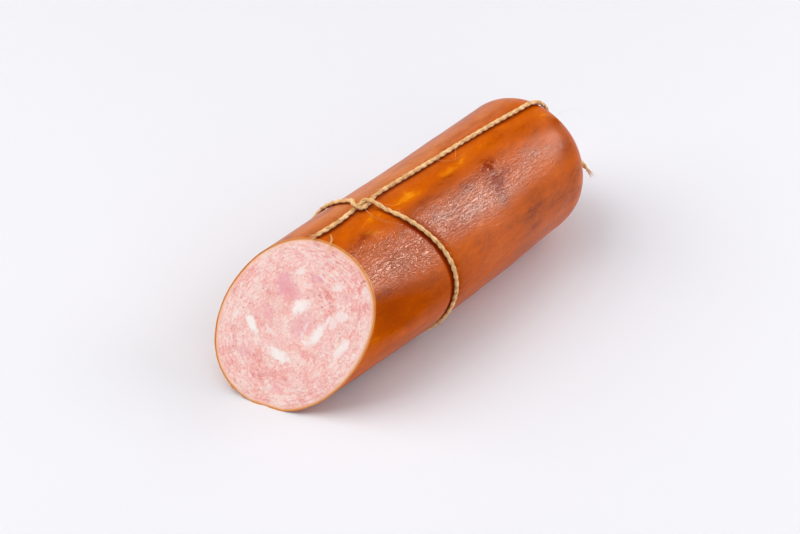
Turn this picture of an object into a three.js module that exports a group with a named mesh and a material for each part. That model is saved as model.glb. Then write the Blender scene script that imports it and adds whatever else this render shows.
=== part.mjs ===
// A cut length of tied ham sausage: the meat filling, the smoked casing drawn together at one end, and twine.
// Millimetres, +Z up. It lies on its side along X, from the slanting cut (-X) to the tied end (+X).
// The origin is at the bottom centre of the bounding box, on the surface that it lies on.
import * as THREE from "three";

const degrees = THREE.MathUtils.degToRad;

// Driving dimensions. Angles round the body run from +Y (0 degrees) over the top (90) to -Y (180).
const bodyLength = 182; // along the axis, from the cut to the tip of the dome
const girths = [ // the body's radius at places along it
  { x: 0, radius: 34.7 },
  { x: 55, radius: 35.6 },
  { x: 110, radius: 35.1 },
  { x: 158, radius: 34.4 },
];
const nominalRadius = 35;
const domeLength = 24;
const domeFullness = 2.45; // exponent of the dome's superellipse: 2 is an ellipse, more is blunter
const lobes = [ // the section isn't quite round: each lobe's size is a share of the radius
  { count: 2, size: 0.0045, turn: degrees(37) },
  { count: 4, size: 0.01, turn: degrees(133) },
];
const sag = 1.2; // how far its own weight flattens the underside
const sagBlend = 0.5; // height over which the flat underside turns into the round side
const flatWithin = 0.1; // anything that would stand this little above the surface below lies flat on it
const sideBend = -2; // of the axis, at mid length
const cut = { yaw: degrees(-16.1), pitch: degrees(31.7) }; // how the knife leaned from square

const casingWall = 0.5;
const gap = 0.3; // between touching pieces
const neck = { start: 2.5, length: 8.2, radius: 4.5 }; // the gathered casing under the binding
const gathers = [{ past: 0.6, wider: 2 }, { past: 1.6, wider: 0.6 }]; // from the dome's tip in to the neck
const tail = { // the loose casing past the binding, with a hollow in its end
  length: 6.5,
  radius: 6.5,
  droop: 6,
  flare: 2,
  rings: [0.25, 0.6, 0.9, 1],
  lip: { at: 0.9, radius: 2.925 },
  hollowTo: 0.75,
};
const folds = { count: 9, tailDepth: 0.16, domeDepth: 0.5, domeReach: 22 };

const twineRadius = 1.1;
const twineSides = 8;
const girthLoop = { at: 55, yaw: degrees(-15.6), pitch: degrees(-1.2), bend: 3 };
const groove = { depth: 0.9, width: 3.4 }; // the loop bites into the -Y side and hardly into the +Y side
const hitch = { // on the neck: its lanes, and the shares of a turn over which its strands cross
  steps: 16,
  lane: 2.8,
  startAngle: degrees(45),
  swapReach: 0.15,
  overReach: 1 / 6,
};
const ringSides = 48;
const squareFrom = 110; // past here the rings of the mesh stand square to the axis

const axisHeight = nominalRadius - sag;
const domeStart = bodyLength - domeLength;
const lift = twineRadius + gap; // of the twine's centre line over the casing
const strandStep = 2 * twineRadius + 0.25; // from one strand's centre line to that of a strand over it

// The body's radius at a place along it, without lobes or groove, on a surface inset under the skin.
function bodyRadius(x, inset) {
  let radius = girths[0].radius;
  for (let i = 1; i < girths.length; i += 1) {
    const share = THREE.MathUtils.smoothstep(x, girths[i - 1].x, girths[i].x);
    radius += share * (girths[i].radius - girths[i - 1].radius);
  }
  const intoDome = THREE.MathUtils.clamp((x - domeStart) / (domeLength - inset), 0, 1);
  return (radius - inset) * (1 - intoDome ** domeFullness) ** (1 / domeFullness);
}

// How far the girth loop's line stands along X from its middle, at an angle round the body.
function loopOffset(angle) {
  const lean = Math.tan(girthLoop.yaw) * Math.cos(angle) + Math.tan(girthLoop.pitch) * Math.sin(angle);
  return nominalRadius * lean + girthLoop.bend * Math.cos(angle) ** 2;
}

// How near a place is to the girth loop: 1 under it, 0 away from it.
function nearLoop(x, angle) {
  return Math.exp(-(((x - girthLoop.at - loopOffset(angle)) / groove.width) ** 2));
}

// The larger of a height and a floor, rounded over where the two meet, and truly flat on the floor.
function restOn(floor, height) {
  const over = (height - floor) / sagBlend;
  if (over >= 1) return height;
  const rise = (sagBlend * (over + 1) ** 2) / 4;
  return over <= -1 || rise < flatWithin ? floor : floor + rise;
}

// A point at a radius from the axis, given the section's lobes, the groove and the flattened underside.
function sectionPoint(x, angle, radius, inset) {
  const lobed = lobes.reduce((sum, lobe) => sum + lobe.size * Math.cos(lobe.count * angle + lobe.turn), 1);
  const shape = THREE.MathUtils.lerp(lobed, 1, THREE.MathUtils.smoothstep(x, domeStart, bodyLength));
  const near = nearLoop(x, angle);
  const reach = radius * shape - groove.depth * near * (0.5 - 0.5 * Math.cos(angle));
  const along = THREE.MathUtils.clamp(x / bodyLength, 0, 1);
  const y = reach * Math.cos(angle) + 4 * sideBend * along * (1 - along);
  // The underside lies on the surface below, and the twine under it holds a narrow stretch up.
  const held = Math.sqrt(near) * (2 * twineRadius + gap);
  const floor = held < flatWithin ? inset : inset + held;
  const z = restOn(floor, axisHeight + reach * Math.sin(angle));
  return new THREE.Vector3(x, y, z);
}

// A point of a ring. The first ring lies in the plane of the cut and a later one along the girth loop.
function ringPoint(row, angle) {
  const { inset = 0, foldDepth = 0, droop = 0 } = row;
  if (row.radius === 0) return new THREE.Vector3(row.x, 0, axisHeight - droop);
  const toLoop = THREE.MathUtils.smoothstep(row.x, 0, girthLoop.at - groove.width);
  const toSquare = THREE.MathUtils.smoothstep(row.x, girthLoop.at + groove.width, squareFrom);
  const looped = toLoop * loopOffset(angle) * (1 - toSquare);
  const radius = row.radius * (1 + foldDepth * Math.cos(folds.count * angle));
  const point = sectionPoint(row.x + looped, angle, radius, inset);
  const cutOffset = Math.tan(cut.yaw) * point.y + Math.tan(cut.pitch) * (point.z - axisHeight);
  return point.set(row.x + looped + (1 - toLoop) * cutOffset, point.y, point.z - droop);
}

// Turns a profile of rows into a closed body whose rings follow ringPoint.
function turned(rows) {
  const profile = rows.map((row) => new THREE.Vector2(row.radius, row.x));
  const geometry = new THREE.LatheGeometry(profile, ringSides);
  const places = geometry.getAttribute("position");
  for (let i = 0; i < places.count; i += 1) {
    const side = Math.floor(i / rows.length) % ringSides;
    const angle = ((side + 0.5) / ringSides) * 2 * Math.PI; // so that whole sides face down
    places.setXYZ(i, ...ringPoint(rows[i % rows.length], angle));
  }
  return geometry;
}

// Rows of the body's profile from the cut to the dome, on a surface inset under the skin.
function bodyRows(inset) {
  const towardsLoop = [0, 12, 24, 36, 44, 48.3, 50.7, 52.4, 53.8];
  const fromLoop = [55, 56.2, 57.6, 59.3, 61.7, 67, 77, 92, 110, 128, 145, 158];
  const domeShares = [0.32, 0.52, 0.68, 0.8, 0.88, 0.94, 0.975, 0.993];
  const overDome = domeShares.map((share) => domeStart + share * (domeLength - inset));
  return [...towardsLoop, ...fromLoop, ...overDome].map((x) => {
    const radius = bodyRadius(x, inset);
    const intoFolds = 1 - THREE.MathUtils.smoothstep(radius, neck.radius, folds.domeReach);
    const foldDepth = x > domeStart ? (intoFolds * folds.domeDepth) / folds.domeReach : 0;
    return { x, radius, inset, foldDepth };
  });
}

function makeFilling() {
  const inset = casingWall + gap;
  return turned([{ x: 0, radius: 0 }, ...bodyRows(inset), { x: bodyLength - inset, radius: 0 }]);
}

// The casing runs inside from the tip of the dome to the cut, then outside to the end of its loose tail.
function makeCasing() {
  const bound = bodyLength + neck.start;
  const loose = bound + neck.length;
  const inside = [{ x: bodyLength - casingWall, radius: 0 }, ...bodyRows(casingWall).reverse()];
  const gathered = gathers.map(({ past, wider }) => ({ x: bodyLength + past, radius: neck.radius + wider }));
  const tied = [{ x: bound, radius: neck.radius }, { x: loose, radius: neck.radius }];
  const tailRow = (share, radius, foldDepth) => {
    return { x: loose + share * tail.length, radius, foldDepth, droop: tail.droop * share ** 2 };
  };
  const spread = tail.rings.map((share) => {
    const radius = THREE.MathUtils.lerp(neck.radius, tail.radius, Math.sin(share * tail.flare));
    return tailRow(share, radius, folds.tailDepth);
  });
  const hollow = [tailRow(tail.lip.at, tail.lip.radius, 0), tailRow(tail.hollowTo, 0, 0)];
  const outside = [...bodyRows(0), ...gathered, ...tied, ...spread, ...hollow];
  return turned([...inside, ...outside]);
}

// A place of the twine's centre line over the casing; level 1 lies over another strand.
function overCasing([x, angle, level = 0]) {
  const above = lift + level * strandStep;
  const turn = degrees(angle);
  const point = sectionPoint(x, turn, bodyRadius(x, -above), -above);
  return point.setZ(Math.max(point.z, twineRadius));
}

// A place of the twine's centre line behind the body: past the dome's tip, to the side and above the axis.
function behind([past, y, above]) {
  return new THREE.Vector3(bodyLength + past, y, axisHeight + above);
}

// A clove hitch: two turns round the neck in lanes 0 and 2, and a strand between them that crosses over both
// ends, which swap lanes with it underneath.
function neckHitch() {
  const start = bodyLength + neck.start + twineRadius + gap;
  const swap = (turns, at) => THREE.MathUtils.smoothstep(turns, at - hitch.swapReach, at + hitch.swapReach);
  return Array.from({ length: 2 * hitch.steps + 3 }, (_, i) => {
    const turns = i / hitch.steps;
    const angle = turns * 2 * Math.PI + hitch.startAngle;
    const lane = 1 - swap(turns, 0) + 2 * swap(turns, 1) - swap(turns, 2);
    const over = Math.exp(-(((turns - 1) / hitch.overReach) ** 2));
    const reach = neck.radius + lift + strandStep * over;
    return new THREE.Vector3(
      start + lane * hitch.lane,
      -reach * Math.cos(angle),
      axisHeight + reach * Math.sin(angle),
    );
  });
}

// One length of twine, from its free end at the neck to the end that the knife cut.
function twineRoute() {
  const freeEnd = [
    [7.8, -21, -9.4], [8.2, -16.4, -6.8], [8, -12.2, -3.6], [7.6, -8.9, -0.6], [6.8, -5.8, 2.2],
  ];
  const toDome = [[5.9, 1.3, 7.8], [4.1, 1.2, 9.4], [2.6, 0.2, 11]];
  // Over the dome and along the top, under the end of the girth loop, and back over its own cut end.
  const alongTop = [
    [182.4, 96], [180.4, 95], [176.5, 94], [170, 92.8], [164, 92.2], [158, 91.5], [138, 87.8],
    [119, 85.7], [100, 84], [82, 82.4], [68, 81.3], [61, 81.1], [57.5, 81.9], [54.8, 82.9],
    [52.6, 84.2], [50.4, 85.1, 0.05], [48.4, 85.5, 0.2], [46.9, 85.2, 0.5], [46, 83.2, 0.85], [46.2, 80.6, 1],
    [47.4, 78.2, 1], [49, 75.6, 0.75], [50.2, 72.6, 0.4], [51, 69.4, 0.1],
  ];
  const loopStep = 9;
  const round = [];
  for (let angle = 63; angle > 105 - 360; angle -= loopStep) {
    round.push(overCasing([girthLoop.at + loopOffset(degrees(angle)), angle]));
  }
  // Back over the strand along the top, then under its own start and forward to the cut.
  const cutEnd = [
    [55.4, 98, 0.1], [54.4, 93.6, 0.45], [53.7, 89.4, 0.85], [53.1, 85.8, 1], [52.2, 82.9, 0.9],
    [50.6, 81.4, 0.5], [48.6, 80.9, 0.15], [46, 81.3], [43, 81.9], [41, 82.2], [37.5, 82.7],
    [33, 82.9], [27, 82.5], [20.9, 81.6],
  ];
  return [
    ...freeEnd.map(behind),
    ...neckHitch(),
    ...toDome.map(behind),
    ...alongTop.map(overCasing),
    ...round,
    ...cutEnd.map(overCasing),
  ];
}

// A curve through the route that takes one step from each point to the next, so tight bends get short steps.
class RouteCurve extends THREE.CatmullRomCurve3 {
  getPointAt(share, target) {
    return this.getPoint(share, target);
  }

  getTangentAt(share, target) {
    return this.getTangent(share, target);
  }
}

function makeTwine() {
  const route = new RouteCurve(twineRoute(), false, "centripetal");
  const corners = Array.from({ length: twineSides }, (_, i) => {
    const turn = (i / twineSides) * 2 * Math.PI;
    return new THREE.Vector2(twineRadius * Math.cos(turn), twineRadius * Math.sin(turn));
  });
  const steps = route.points.length - 1;
  return new THREE.ExtrudeGeometry(new THREE.Shape(corners), { steps, extrudePath: route });
}

function piece(name, geometry, color, roughness) {
  const material = new THREE.MeshStandardMaterial({ color, roughness, metalness: 0 });
  const mesh = new THREE.Mesh(geometry, material);
  mesh.name = name;
  return mesh;
}

const sausage = new THREE.Group();
sausage.add(
  piece("filling", makeFilling(), 0xe8a9a4, 0.55),
  piece("casing", makeCasing(), 0xb45a1e, 0.35),
  piece("twine", makeTwine(), 0xc9a566, 0.9),
);

const extent = new THREE.Box3().setFromObject(sausage, true);
const middle = extent.getCenter(new THREE.Vector3());
sausage.position.set(-middle.x, -middle.y, -extent.min.z);

export default sausage;
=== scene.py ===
import math

import bpy
import numpy as np
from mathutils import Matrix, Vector, kdtree, noise


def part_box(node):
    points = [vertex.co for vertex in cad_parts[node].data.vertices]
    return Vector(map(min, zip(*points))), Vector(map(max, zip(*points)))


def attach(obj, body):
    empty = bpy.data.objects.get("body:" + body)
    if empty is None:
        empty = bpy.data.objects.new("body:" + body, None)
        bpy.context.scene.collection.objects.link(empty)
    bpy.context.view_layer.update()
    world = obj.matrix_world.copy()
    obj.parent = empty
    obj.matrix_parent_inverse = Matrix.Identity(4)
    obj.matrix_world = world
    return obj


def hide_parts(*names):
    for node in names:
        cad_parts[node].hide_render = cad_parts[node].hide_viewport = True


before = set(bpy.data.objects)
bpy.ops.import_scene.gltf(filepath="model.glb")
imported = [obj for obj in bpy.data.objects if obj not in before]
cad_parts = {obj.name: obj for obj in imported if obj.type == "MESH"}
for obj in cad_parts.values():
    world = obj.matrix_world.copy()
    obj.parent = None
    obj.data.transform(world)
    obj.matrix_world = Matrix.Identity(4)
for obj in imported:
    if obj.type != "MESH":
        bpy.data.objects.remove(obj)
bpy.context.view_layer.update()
print("frame loaded:", ", ".join(sorted(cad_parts)))

casingLow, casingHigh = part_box("casing")
mm = 0.001

# the body's form, the same as the part's own source
body = {
    "length": 182.0,  # from the cut to the tip of the dome
    "reach": 199.2,  # from the cut to the end of the loose casing
    "girthAt": [0, 55, 110, 158],
    "girthRadius": [34.7, 35.6, 35.1, 34.4],
    "radius": 35.0,
    "domeLength": 24.0,
    "domeFullness": 2.45,
    "lobes": [(2, 0.0045, 37), (4, 0.01, 133)],
    "sag": 1.2,
    "sagBlend": 0.5,
    "flatWithin": 0.1,
    "sideBend": -2.0,
    "cutYaw": math.radians(-16.1),
    "cutPitch": math.radians(31.7),
    "axisToBoxMiddle": 1.4,  # the loop leaves the casing's box a little lopsided
}
loop = {
    "at": 55.0,
    "yaw": math.radians(-15.6),
    "pitch": math.radians(-1.2),
    "bend": 3.0,
    "grooveDepth": 0.9,
    "grooveWidth": 3.4,
    "endsAt": 110,  # behind the loop, where the sections stand square again
}
neck = {"start": 2.5, "length": 8.2, "radius": 4.5, "lane": 2.8}
tail = {"length": 6.5, "radius": 4.9, "droop": 6.8, "flare": 2.0}
twine = {
    "radius": 1.1,
    "gap": 0.3,
    "rest": 1.16,  # of its middle line over the casing, as it really lies
    "over": 2.3,  # further out, where it crosses itself
}

axisHeight = body["radius"] - body["sag"]
domeStart = body["length"] - body["domeLength"]
originX = casingHigh.x / mm - body["reach"]
originY = (casingLow.y + casingHigh.y) / 2 / mm + body["axisToBoxMiddle"]


def toRow(points):
    return (np.asarray(points, float) + [originX, originY, 0]) * mm


def smoothstep(x, low, high):
    share = np.clip((np.asarray(x, float) - low) / (high - low), 0, 1)
    return share * share * (3 - 2 * share)


def noiseAt(points, size, seed=0):
    # smooth noise of the given size; the seed moves it to another place
    scaled = np.asarray(points, float).reshape(-1, 3) / size + seed * 17.31
    values = [noise.noise(point) for point in scaled.tolist()]
    return np.array(values).reshape(np.shape(points)[:-1])


def bodyRadius(x, inset):
    radius = np.full(np.shape(x), body["girthRadius"][0], float)
    stations = list(zip(body["girthAt"], body["girthRadius"]))
    for (fromX, fromRadius), (toX, toRadius) in zip(stations, stations[1:]):
        radius = radius + smoothstep(x, fromX, toX) * (toRadius - fromRadius)
    intoDome = np.clip((x - domeStart) / (body["domeLength"] - inset), 0, 1)
    full = body["domeFullness"]
    return (radius - inset) * (1 - intoDome ** full) ** (1 / full)


def loopOffset(angle):
    # how far behind its middle the slanting loop lies, round the girth
    lean = math.tan(loop["yaw"]) * np.cos(angle) + math.tan(loop["pitch"]) * np.sin(angle)
    return body["radius"] * lean + loop["bend"] * np.cos(angle) ** 2


def restOn(floor, height):
    # the belly lies flat on the floor and blends into the round sides
    over = (height - floor) / body["sagBlend"]
    rise = body["sagBlend"] * (over + 1) ** 2 / 4
    blended = np.where((over <= -1) | (rise < body["flatWithin"]), floor, floor + rise)
    return np.where(over >= 1, height, blended)


def sideways(x):
    # the slight bend of the whole sausage towards one side
    along = np.clip(x / body["length"], 0, 1)
    return 4 * body["sideBend"] * along * (1 - along)


def sectionPoint(x, angle, radius, inset):
    lobes = [size * np.cos(count * angle + math.radians(turn)) for count, size, turn in body["lobes"]]
    lobed = 1 + sum(lobes)
    intoTip = smoothstep(x, domeStart, body["length"])
    shape = lobed + (1 - lobed) * intoTip
    near = np.exp(-(((x - loop["at"] - loopOffset(angle)) / loop["grooveWidth"]) ** 2))
    reach = radius * shape - loop["grooveDepth"] * near * (0.5 - 0.5 * np.cos(angle))
    y = reach * np.cos(angle) + sideways(x)
    held = np.sqrt(near) * (2 * twine["radius"] + twine["gap"])
    floor = inset + np.where(held < body["flatWithin"], 0, held)
    z = restOn(floor, axisHeight + reach * np.sin(angle))
    return np.stack([x + 0 * y, y, z], axis=-1)


def cutOffset(y, rise):
    # how far behind its middle the slanting cut lies, beside and above the axis
    return math.tan(body["cutYaw"]) * y + math.tan(body["cutPitch"]) * rise


def ringPoint(x, angle, radius, inset=0.0, droop=0.0):
    toLoop = smoothstep(x, 0, loop["at"] - loop["grooveWidth"])
    toSquare = smoothstep(x, loop["at"] + loop["grooveWidth"], loop["endsAt"])
    looped = toLoop * loopOffset(angle) * (1 - toSquare)
    point = sectionPoint(x + looped, angle, radius, inset)
    atCut = cutOffset(point[..., 1], point[..., 2] - axisHeight)
    point[..., 0] = x + looped + (1 - toLoop) * atCut
    point[..., 2] -= droop
    return point


# camera, lights and floor
# metres, and watts for the lamps
view = {"place": (-0.6324, -0.5280, 0.6607), "aim": (-0.0128, 0.0036, 0.0206), "lens": 100, "sensor": 36}
lamps = {
    "keySoftbox": {"place": (-0.62, 0.80, 1.20), "size": (1.7, 1.5), "energy": 22.5, "colour": "fffcf9"},
    "sideSoftbox": {"place": (0.80, -0.70, 0.78), "size": (0.75, 0.60), "energy": 6, "colour": "f8f8ff"},
    "glossCard": {"place": (0.86, -0.74, 0.82), "size": (1.05, 0.64), "energy": 27, "colour": "fff0e0"},
    "rearFill": {"place": (1.35, 0.10, 0.95), "size": (1.0, 1.0), "energy": 4.5, "colour": "fffefc"},
    "frontFill": {"place": (-0.55, -1.0, 0.75), "size": (0.9, 0.7), "energy": 3.2, "colour": "ffffff"},
}
lampAim = (0, 0, 0.03)
sky = {
    "strength": 1.15,
    # bright near the horizon, dim overhead, so that the top of the casing keeps its deep colour
    "stops": [(0.0, "f4f5f8"), (0.12, "f2f3f6"), (0.25, "2a2a2e"), (0.86, "2a2a2e"), (0.96, "ffffff")],
}
floorSheet = {"half": 4.0, "colour": "eaebf0"}


def colour(hexCode):
    # an sRGB hex value as linear red, green, blue and alpha
    shares = [int(hexCode[i:i + 2], 16) / 255 for i in (0, 2, 4)]
    return [s / 12.92 if s <= 0.04045 else ((s + 0.055) / 1.055) ** 2.4 for s in shares] + [1.0]


def addNode(tree, kind, inputs=None, stops=None, **settings):
    made = tree.nodes.new("ShaderNode" + kind)
    for name, value in settings.items():
        setattr(made, name, value)
    for place, (at, value) in enumerate(stops or []):
        ramp = made.color_ramp.elements
        stop = ramp[place] if place < 2 else ramp.new(at)
        stop.position = at
        stop.color = colour(value)
    for name, value in (inputs or {}).items():
        if isinstance(value, bpy.types.NodeSocket):
            tree.links.new(value, made.inputs[name])
        else:
            made.inputs[name].default_value = value
    return made


def newMaterial(name):
    material = bpy.data.materials.new(name)
    material.use_nodes = True
    material.node_tree.nodes.clear()
    return material, material.node_tree


def aimAt(obj, target):
    obj.rotation_euler = (Vector(target) - obj.location).to_track_quat("-Z", "Y").to_euler()


def makeStudio():
    scene = bpy.context.scene
    scene.view_settings.view_transform = "Standard"
    lens = bpy.data.cameras.new("camera")
    lens.lens = view["lens"]
    lens.sensor_width = view["sensor"]
    cameraObject = bpy.data.objects.new("camera", lens)
    scene.collection.objects.link(cameraObject)
    cameraObject.location = view["place"]
    aimAt(cameraObject, view["aim"])
    scene.camera = cameraObject
    for name, lamp in lamps.items():
        light = bpy.data.lights.new(name, "AREA")
        light.shape = "RECTANGLE"
        light.size, light.size_y = lamp["size"]
        light.energy = lamp["energy"]
        light.color = colour(lamp["colour"])[:3]
        lightObject = bpy.data.objects.new(name, light)
        scene.collection.objects.link(lightObject)
        lightObject.location = lamp["place"]
        lightObject.visible_diffuse = name != "glossCard"  # a card that only shows in the gloss
        lightObject.visible_glossy = name != "rearFill"  # this one only softens the shadow
        aimAt(lightObject, lampAim)
    world = bpy.data.worlds.new("studio")
    scene.world = world
    world.use_nodes = True
    tree = world.node_tree
    tree.nodes.clear()
    direction = addNode(tree, "TexCoord").outputs["Generated"]
    height = addNode(tree, "SeparateXYZ", {0: direction}).outputs["Z"]
    shade = addNode(tree, "ValToRGB", {0: height}, stops=sky["stops"])
    glow = addNode(tree, "Background", {"Color": shade.outputs[0], "Strength": sky["strength"]})
    addNode(tree, "OutputWorld", {"Surface": glow.outputs[0]})


def makeFloor():
    half = floorSheet["half"]
    corners = [(-half, -half, 0), (half, -half, 0), (half, half, 0), (-half, half, 0)]
    mesh = bpy.data.meshes.new("floor")
    mesh.from_pydata(corners, [], [(0, 1, 2, 3)])
    floor = bpy.data.objects.new("floor", mesh)
    bpy.context.scene.collection.objects.link(floor)
    # matt white acrylic sheet: plain and pale
    paint, tree = newMaterial("matt_white_acrylic")
    shader = addNode(tree, "BsdfPrincipled",
                     {"Base Color": colour(floorSheet["colour"]), "Roughness": 0.55, "IOR": 1.49})
    addNode(tree, "OutputMaterial", {"Surface": shader.outputs[0]})
    mesh.materials.append(paint)


makeStudio()
makeFloor()
print("studio ready")

# the twine's route, the same as the part's own source
neckEnd = [(7.8, -21, -9.4), (8.2, -16.4, -6.8), (8, -12.2, -3.6), (7.6, -8.9, -0.6), (6.8, -5.8, 2.2)]
neckToDome = [(5.9, 1.3, 7.8), (4.1, 1.2, 9.4), (2.6, 0.2, 11)]
# on the casing: x, angle in degrees, and how far it is lifted, where 1 is right over another strand
alongTop = [
    (182.4, 96, 0), (180.4, 95, 0), (176.5, 94, 0), (170, 92.8, 0), (164, 92.2, 0), (158, 91.5, 0),
    (138, 87.8, 0), (119, 85.7, 0), (100, 84, 0), (82, 82.4, 0), (68, 81.3, 0), (61, 81.1, 0),
    (57.5, 81.9, 0), (54.8, 82.9, 0), (52.6, 84.2, 0), (50.4, 85.1, 0.05), (48.4, 85.5, 0.2),
    (46.9, 85.2, 0.5), (46, 83.2, 0.85), (46.2, 80.6, 1), (47.4, 78.2, 1), (49, 75.6, 0.75),
    (50.2, 72.6, 0.4), (51, 69.4, 0.1),
]
backToCut = [
    (55.4, 98, 0.1), (54.4, 93.6, 0.45), (53.7, 89.4, 0.85), (53.1, 85.8, 1), (52.2, 82.9, 0.9),
    (50.6, 81.4, 0.5), (48.6, 80.9, 0.15), (46, 81.3, 0), (43, 81.9, 0), (41, 82.2, 0), (37.5, 82.7, 0),
    (33, 82.9, 0), (27, 82.5, 0), (20.9, 81.6, 0),
]
girth = {"from": 63, "to": -255, "step": -9}  # degrees, round by the far side and the belly
hitch = {"steps": 16, "start": math.radians(45), "swapReach": 0.15, "overReach": 1 / 6}


def overCasing(x, angleDegrees, level):
    above = twine["rest"] + level * twine["over"]
    point = sectionPoint(np.array(x, float), math.radians(angleDegrees), bodyRadius(x, -above), -above)
    point[2] = max(point[2], twine["radius"])
    return point


def behindDome(past, y, above):
    return np.array([body["length"] + past, y, axisHeight + above])


def neckHitch():
    start = body["length"] + neck["start"] + twine["radius"] + twine["gap"]
    points = []
    for i in range(2 * hitch["steps"] + 3):
        turns = i / hitch["steps"]
        angle = turns * 2 * math.pi + hitch["start"]
        swaps = [smoothstep(turns, at - hitch["swapReach"], at + hitch["swapReach"]) for at in (0, 1, 2)]
        lane = 1 - swaps[0] + 2 * swaps[1] - swaps[2]
        over = twine["over"] * math.exp(-(((turns - 1) / hitch["overReach"]) ** 2))
        reach = neck["radius"] + twine["rest"] + over
        y, z = -reach * math.cos(angle), axisHeight + reach * math.sin(angle)
        points.append([start + lane * neck["lane"], y, z])
    return points


def twineRoute():
    route = [behindDome(*place) for place in neckEnd] + neckHitch()
    route += [behindDome(*place) for place in neckToDome] + [overCasing(*place) for place in alongTop]
    for angle in range(girth["from"], girth["to"], girth["step"]):
        route.append(overCasing(loop["at"] + float(loopOffset(math.radians(angle))), angle, 0))
    route += [overCasing(*place) for place in backToCut]
    return np.array(route, float)


def alongCurve(points, step):
    # a centripetal Catmull-Rom curve through the points, then even steps along it
    points = np.asarray(points, float)
    ends = np.vstack([2 * points[0] - points[1], points, 2 * points[-1] - points[-2]])
    share = np.linspace(0, 1, 12, endpoint=False)[:, None]
    pieces = []
    for a, b, c, d in zip(ends, ends[1:], ends[2:], ends[3:]):
        spans = [max(np.linalg.norm(n - m) ** 0.5, 0.01) for m, n in ((a, b), (b, c), (c, d))]
        slopeIn = ((b - a) / spans[0] - (c - a) / (spans[0] + spans[1]) + (c - b) / spans[1]) * spans[1]
        slopeOut = ((c - b) / spans[1] - (d - b) / (spans[1] + spans[2]) + (d - c) / spans[2]) * spans[1]
        rise = 3 * (c - b) - 2 * slopeIn - slopeOut
        bend = 2 * b - 2 * c + slopeIn + slopeOut
        pieces.append(b + slopeIn * share + rise * share ** 2 + bend * share ** 3)
    fine = np.vstack(pieces + [points[-1:]])
    lengths = np.concatenate([[0], np.cumsum(np.linalg.norm(np.diff(fine, axis=0), axis=1))])
    even = np.linspace(0, lengths[-1], int(lengths[-1] / step) + 1)
    return np.stack([np.interp(even, lengths, fine[:, k]) for k in range(3)], axis=1), even


routeStep = 0.36
routePoints, routeLengths = alongCurve(twineRoute(), routeStep)
strandTree = kdtree.KDTree(len(routePoints))
for place, point in enumerate(routePoints):
    strandTree.insert(point, place)
strandTree.balance()
print("twine route:", round(float(routeLengths[-1]), 1), "mm")

# the casing's relief, which the meat's rim follows
relief = {
    "broad": (26.0, 0.26),  # size and height of each layer of unevenness, mm
    "dimples": (9.0, 0.09),
    # in patches, and longer along the sausage
    "crinkles": {"size": 2.2, "height": 0.014, "squeeze": 0.6, "patch": 17, "least": 0.35},
    "bulge": {"height": 0.42, "from": 2.6, "reach": 9.0},  # beside the loop
    "pucker": {"count": 46, "height": 0.06, "from": 3.2, "reach": 6.0, "wander": 3, "lean": 0.25},  # the same
    "inwardTurn": 0.5,  # radians from -Y, where both are highest
    "dent": {"depth": 0.26, "reach": 1.9},  # under every strand
}


def skinRelief(x, angle):
    y, z = body["radius"] * np.cos(angle), body["radius"] * np.sin(angle)
    onBody = np.stack([x + 0 * angle, y + 0 * x, z + 0 * x], axis=-1)
    layers = [relief["broad"], relief["dimples"]]
    return sum(height * noiseAt(onBody, size, seed) for seed, (size, height) in enumerate(layers, 1))


def surfaceDetail(points, x, angle):
    # the finer unevenness that only the outside of the casing has
    crinkles, pucker, bulge, dent = [relief[key] for key in ("crinkles", "pucker", "bulge", "dent")]
    size, least = crinkles["size"], crinkles["least"]
    squeezed = points * [crinkles["squeeze"], 1, 1]
    patches = least + (1 - least) * smoothstep(noiseAt(points, crinkles["patch"], 5), -0.25, 0.35)
    fine = noiseAt(squeezed, size, 3) + 0.5 * noiseAt(squeezed, size * 0.55, 4)
    away = x - loop["at"] - loopOffset(angle)
    wave = np.cos(pucker["count"] * angle + pucker["wander"] * noiseAt(points, 14, 6) + pucker["lean"] * away)
    wave = wave * np.exp(-((np.abs(away) - pucker["from"]) / pucker["reach"]) ** 2)
    swelling = (1 - np.exp(-((away / bulge["from"]) ** 2))) * np.exp(-((away / bulge["reach"]) ** 2))
    inward = 0.5 - 0.5 * np.cos(angle + relief["inwardTurn"])
    distance = np.array([strandTree.find(point)[2] for point in points.reshape(-1, 3).tolist()])
    distance = distance.reshape(points.shape[:-1])
    pressed = np.exp(-((distance / dent["reach"]) ** 2))
    detail = crinkles["height"] * patches * fine - dent["depth"] * pressed
    return detail + (pucker["height"] * wave + bulge["height"] * swelling) * inward, distance


def gridFaces(rows, columns, start=0, flip=False):
    a = np.arange(rows - 1)[:, None] * columns + np.arange(columns)[None, :] + start
    b = np.arange(rows - 1)[:, None] * columns + (np.arange(columns) + 1)[None, :] % columns + start
    quads = np.stack([a, b, b + columns, a + columns], axis=-1).reshape(-1, 4)
    return (quads[:, ::-1] if flip else quads).tolist()


def capFaces(pole, first, columns, flip=False):
    a = first + np.arange(columns)
    b = first + (np.arange(columns) + 1) % columns
    fan = np.stack([np.full(columns, pole), a, b], axis=-1)
    return (fan[:, ::-1] if flip else fan).tolist()


def makePiece(name, points, faces, material, attributes=None, sharp=50):
    mesh = bpy.data.meshes.new(name)
    mesh.from_pydata(toRow(points).tolist(), [], faces)
    mesh.polygons.foreach_set("use_smooth", [True] * len(mesh.polygons))
    if sharp:
        mesh.set_sharp_from_angle(angle=math.radians(sharp))
    for key, values in (attributes or {}).items():
        layer = mesh.attributes.new(key, "FLOAT", "POINT")
        layer.data.foreach_set("value", np.asarray(values, np.float32).ravel())
    mesh.materials.append(material)
    mesh.update()
    piece = bpy.data.objects.new(name, mesh)
    bpy.context.scene.collection.objects.link(piece)
    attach(piece, "root")
    print(name, "faces:", len(mesh.polygons))
    return piece


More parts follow.
